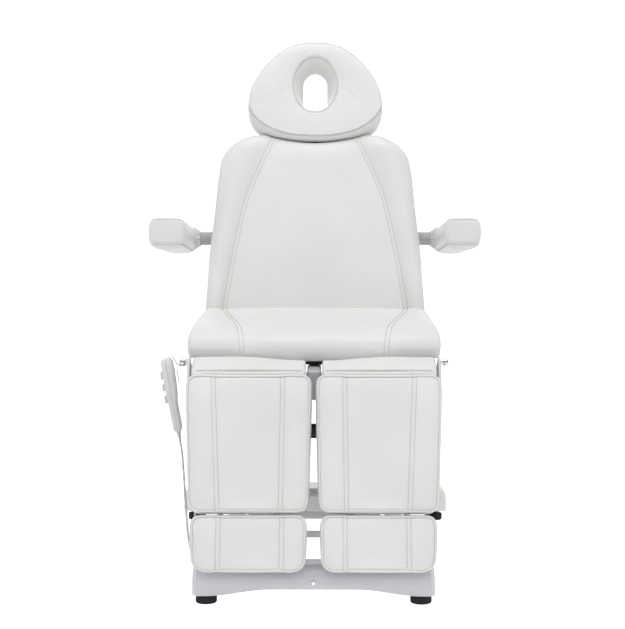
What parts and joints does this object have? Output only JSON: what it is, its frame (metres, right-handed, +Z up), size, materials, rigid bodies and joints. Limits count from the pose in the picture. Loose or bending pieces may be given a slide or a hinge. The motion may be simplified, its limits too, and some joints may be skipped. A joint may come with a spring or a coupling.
{
  "type": "facial treatment bed",
  "caption": "Electric treatment chair with a scissor lift base, tilting seat, reclining back, face-hole headrest, folding armrests, split leg rests and a corded handset.",
  "frame": {"origin": "on the floor under the middle of the whole chair", "axes": "+Z up, the front of the chair faces -Y, +X is the right seen from the front"},
  "size_m": [0.862, 1.0897, 1.3935],
  "materials": {
    "upholstery": "smooth white artificial leather with a fine grain",
    "white_shell": "satin white moulded cover",
    "grey_steel": "grey-blue powder coat",
    "white_steel": "white powder coat",
    "chrome": "polished",
    "zinc": "zinc plated",
    "black_rubber": "matt black",
    "plywood": "plain plywood",
    "handset_plastic": "light grey, fine texture",
    "dark_plastic": "dark grey, fine texture",
    "button_plastic": "blue-grey membrane",
    "cord_jacket": "light grey cable jacket",
    "loop_cord": "thin braided loop"
  },
  "bodies": {
    "base": {"front_base_cover": "white_shell", "rear_base_cover": "white_shell", "left_base_rail": "white_steel", "right_base_rail": "white_steel", "front_left_foot": "black_rubber", "front_right_foot": "black_rubber", "rear_left_foot": "black_rubber", "rear_right_foot": "black_rubber", "front_cover_screw": "chrome", "mains_inlet": "dark_plastic"},
    "outer_scissor": {"outer_scissor_frame": "white_steel"},
    "inner_scissor": {"inner_scissor_frame": "white_steel"},
    "carriage": {"carriage_frame": "white_steel", "tilt_actuator_body": "dark_plastic"},
    "lift_actuator": {"lift_actuator_body": "dark_plastic"},
    "lift_rod": {"lift_actuator_rod": "chrome"},
    "tilt_rod": {"tilt_actuator_rod": "chrome"},
    "seat": {"seat_frame": "grey_steel", "seat_board": "plywood", "seat_cushion": "upholstery", "seat_side_cover_left": "white_shell", "seat_side_cover_right": "white_shell", "control_box": "dark_plastic", "leg_hinge_shaft": "zinc", "hook_knob_left": "chrome", "hook_knob_right": "chrome", "back_actuator_body": "dark_plastic", "handset_front": "handset_plastic", "handset_back": "handset_plastic", "handset_loop": "loop_cord", "handset_strain_relief": "handset_plastic", "handset_cord": "cord_jacket", "cord_gland": "dark_plastic"},
    "back_rod": {"back_actuator_rod": "chrome"},
    "back": {"backrest_frame": "grey_steel", "backrest_cushion": "upholstery", "backrest_rear_cover": "white_shell"},
    "headrest_carrier": {"headrest_bracket": "chrome"},
    "headrest": {"headrest_board": "plywood", "headrest_cushion": "upholstery"},
    "armrest_left": {"armrest_pad_left": "upholstery", "armrest_tube_left": "grey_steel"},
    "armrest_right": {"armrest_pad_right": "upholstery", "armrest_tube_right": "grey_steel"},
    "leg_left": {"leg_frame_left": "grey_steel", "knee_roll_left": "upholstery", "calf_pad_left": "upholstery"},
    "leg_right": {"leg_frame_right": "grey_steel", "knee_roll_right": "upholstery", "calf_pad_right": "upholstery"},
    "foot_left": {"foot_slide_left": "zinc", "foot_pad_left": "upholstery"},
    "foot_right": {"foot_slide_right": "zinc", "foot_pad_right": "upholstery"},
    "button_back_up": {"button_back_up": "button_plastic"},
    "button_back_down": {"button_back_down": "button_plastic"},
    "button_seat_up": {"button_seat_up": "button_plastic"},
    "button_seat_down": {"button_seat_down": "button_plastic"},
    "button_lift_up": {"button_lift_up": "button_plastic"},
    "button_lift_down": {"button_lift_down": "button_plastic"}
  },
  "joints": [
    {"name": "lift", "type": "hinge", "parent": "base", "child": "outer_scissor", "pos_m": [0, 0.2812, 0.11], "axis": [-1, 0, 0], "range_deg": [0, 39]},
    {"name": "lift_cross", "type": "hinge", "parent": "outer_scissor", "child": "inner_scissor", "pos_m": [0, 0.0462, 0.26], "axis": [-1, 0, 0], "range_deg": [-78, 0]},
    {"name": "lift_level", "type": "hinge", "parent": "inner_scissor", "child": "carriage", "pos_m": [0, 0.2812, 0.41], "axis": [-1, 0, 0], "range_deg": [0, 39]},
    {"name": "lift_actuator_swing", "type": "hinge", "parent": "base", "child": "lift_actuator", "pos_m": [0.08, 0.1112, 0.05], "axis": [-1, 0, 0], "range_deg": [0, 19.02]},
    {"name": "lift_rod_slide", "type": "slide", "parent": "lift_actuator", "child": "lift_rod", "axis": [0, 0.2009, 0.9796], "range_m": [0, 0.093]},
    {"name": "seat_tilt", "type": "hinge", "parent": "carriage", "child": "seat", "pos_m": [0, 0.2112, 0.485], "axis": [-1, 0, 0], "range_deg": [0, 15]},
    {"name": "tilt_rod_slide", "type": "slide", "parent": "carriage", "child": "tilt_rod", "axis": [0, -1, 0], "range_m": [0, 0.0225]},
    {"name": "back_recline", "type": "hinge", "parent": "seat", "child": "back", "pos_m": [0, 0.3212, 0.555], "axis": [-1, 0, 0], "range_deg": [0, 75]},
    {"name": "back_rod_slide", "type": "slide", "parent": "seat", "child": "back_rod", "axis": [0, -1, 0], "range_m": [0, 0.1152]},
    {"name": "headrest_extend", "type": "slide", "parent": "back", "child": "headrest_carrier", "axis": [0, 0.2588, 0.9659], "range_m": [0, 0.1]},
    {"name": "headrest_tilt", "type": "hinge", "parent": "headrest_carrier", "child": "headrest", "pos_m": [0, 0.4905, 1.1308], "axis": [-1, 0, 0], "range_deg": [0, 35]},
    {"name": "armrest_lift_left", "type": "hinge", "parent": "back", "child": "armrest_left", "pos_m": [0, 0.39979, 0.82899], "axis": [-1, 0, 0], "range_deg": [0, 80]},
    {"name": "armrest_lift_right", "type": "hinge", "parent": "back", "child": "armrest_right", "pos_m": [0, 0.39979, 0.82899], "axis": [-1, 0, 0], "range_deg": [0, 80]},
    {"name": "leg_raise_left", "type": "hinge", "parent": "seat", "child": "leg_left", "pos_m": [0, -0.2288, 0.49], "axis": [-1, 0, 0], "range_deg": [0, 64]},
    {"name": "leg_raise_right", "type": "hinge", "parent": "seat", "child": "leg_right", "pos_m": [0, -0.2288, 0.49], "axis": [-1, 0, 0], "range_deg": [0, 64]},
    {"name": "foot_extend_left", "type": "slide", "parent": "leg_left", "child": "foot_left", "axis": [0, -0.4368, -0.8996], "range_m": [0, 0.08]},
    {"name": "foot_extend_right", "type": "slide", "parent": "leg_right", "child": "foot_right", "axis": [0, -0.4368, -0.8996], "range_m": [0, 0.08]},
    {"name": "press_back_up", "type": "slide", "parent": "seat", "child": "button_back_up", "axis": [0.9877, 0, 0.1564], "range_m": [0, 0.001], "stiffness_N_per_m": 600, "springref_m": -0.0005},
    {"name": "press_back_down", "type": "slide", "parent": "seat", "child": "button_back_down", "axis": [0.9877, 0, 0.1564], "range_m": [0, 0.001], "stiffness_N_per_m": 600, "springref_m": -0.0005},
    {"name": "press_seat_up", "type": "slide", "parent": "seat", "child": "button_seat_up", "axis": [0.9877, 0, 0.1564], "range_m": [0, 0.001], "stiffness_N_per_m": 600, "springref_m": -0.0005},
    {"name": "press_seat_down", "type": "slide", "parent": "seat", "child": "button_seat_down", "axis": [0.9877, 0, 0.1564], "range_m": [0, 0.001], "stiffness_N_per_m": 600, "springref_m": -0.0005},
    {"name": "press_lift_up", "type": "slide", "parent": "seat", "child": "button_lift_up", "axis": [0.9877, 0, 0.1564], "range_m": [0, 0.001], "stiffness_N_per_m": 600, "springref_m": -0.0005},
    {"name": "press_lift_down", "type": "slide", "parent": "seat", "child": "button_lift_down", "axis": [0.9877, 0, 0.1564], "range_m": [0, 0.001], "stiffness_N_per_m": 600, "springref_m": -0.0005}
  ],
  "couplings": [
    {"joint": "lift_cross", "follows": "lift", "ratio": -2},
    {"joint": "lift_level", "follows": "lift", "ratio": 1},
    {"joint": "lift_actuator_swing", "follows": "lift", "ratio": 0.48739},
    {"joint": "lift_rod_slide", "follows": "lift", "m_per_rad": 0.13645},
    {"joint": "tilt_rod_slide", "follows": "seat_tilt", "m_per_rad": 0.08549},
    {"joint": "back_rod_slide", "follows": "back_recline", "m_per_rad": 0.08793}
  ]
}
